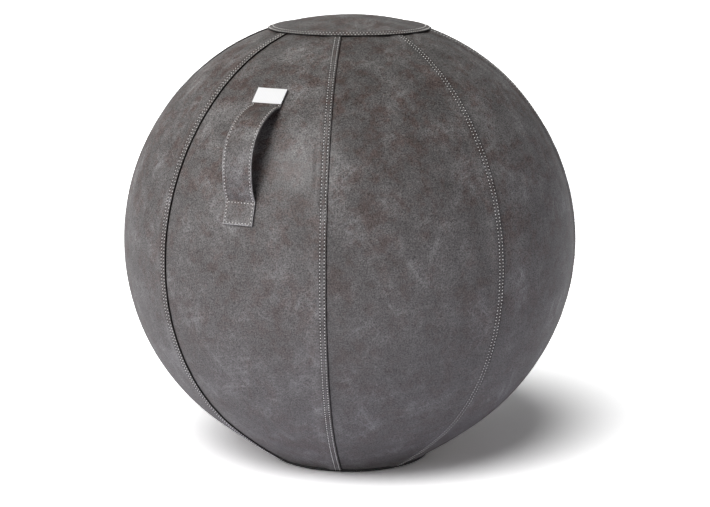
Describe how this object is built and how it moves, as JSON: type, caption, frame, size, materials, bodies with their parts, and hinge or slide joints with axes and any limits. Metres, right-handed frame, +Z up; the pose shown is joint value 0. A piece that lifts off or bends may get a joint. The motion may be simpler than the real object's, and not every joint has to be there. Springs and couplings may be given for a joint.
{
  "type": "sitting ball",
  "caption": "Upholstered sitting ball: an inflated ball in a cover of lapped gores with a round cap, strap handle, base ring and zipped base.",
  "frame": {"origin": "on the floor under the middle of the ball, at the centre of the base ring's flat foot", "axes": "+Z up, -Y is the front, the way the gore with the handle faces, and +X is to the right of someone who looks at the front"},
  "size_m": [0.6496, 0.6496, 0.6395],
  "materials": {
    "faux_leather": "aged matt polyurethane faux leather with worn pale streaks",
    "label_cloth": "white woven satin ribbon",
    "base_cloth": "black coated canvas",
    "tape_cloth": "black woven zip tape",
    "ring_plastic": "extruded black plastic",
    "ball_vinyl": "grey moulded vinyl",
    "valve_vinyl": "off-white moulded vinyl",
    "zip_resin": "black moulded resin",
    "slider_metal": "die-cast zinc with dark lacquer"
  },
  "bodies": {
    "cover": {"gore_panel_1": "faux_leather", "gore_panel_2": "faux_leather", "gore_panel_3": "faux_leather", "gore_panel_4": "faux_leather", "gore_panel_5": "faux_leather", "gore_panel_6": "faux_leather", "gore_panel_7": "faux_leather", "gore_panel_8": "faux_leather", "top_cap": "faux_leather", "handle_strap": "faux_leather", "handle_label": "label_cloth", "base_ring_core": "ring_plastic", "base_ring_sleeve": "base_cloth", "base_panel_left": "base_cloth", "base_panel_right": "base_cloth", "zip_tape_left": "tape_cloth", "zip_tape_right": "tape_cloth", "zip_chain_left": "zip_resin", "zip_chain_right": "zip_resin", "zip_top_stop_left": "zip_resin", "zip_top_stop_right": "zip_resin", "zip_bottom_stop": "zip_resin", "inner_ball": "ball_vinyl", "valve_collar": "valve_vinyl", "valve_plug": "valve_vinyl"},
    "slider": {"zip_slider": "slider_metal"},
    "pull": {"zip_pull": "slider_metal"}
  },
  "joints": [
    {"name": "zip_slide", "type": "slide", "parent": "cover", "child": "slider", "axis": [0, 1, 0], "range_m": [0, 0.1608], "deforming": ["zip_chain_left", "zip_chain_right"]},
    {"name": "pull_flip", "type": "hinge", "parent": "slider", "child": "pull", "pos_m": [0, -0.08042, 0.00671], "axis": [-1, 0, 0], "range_deg": [0, 180]}
  ]
}
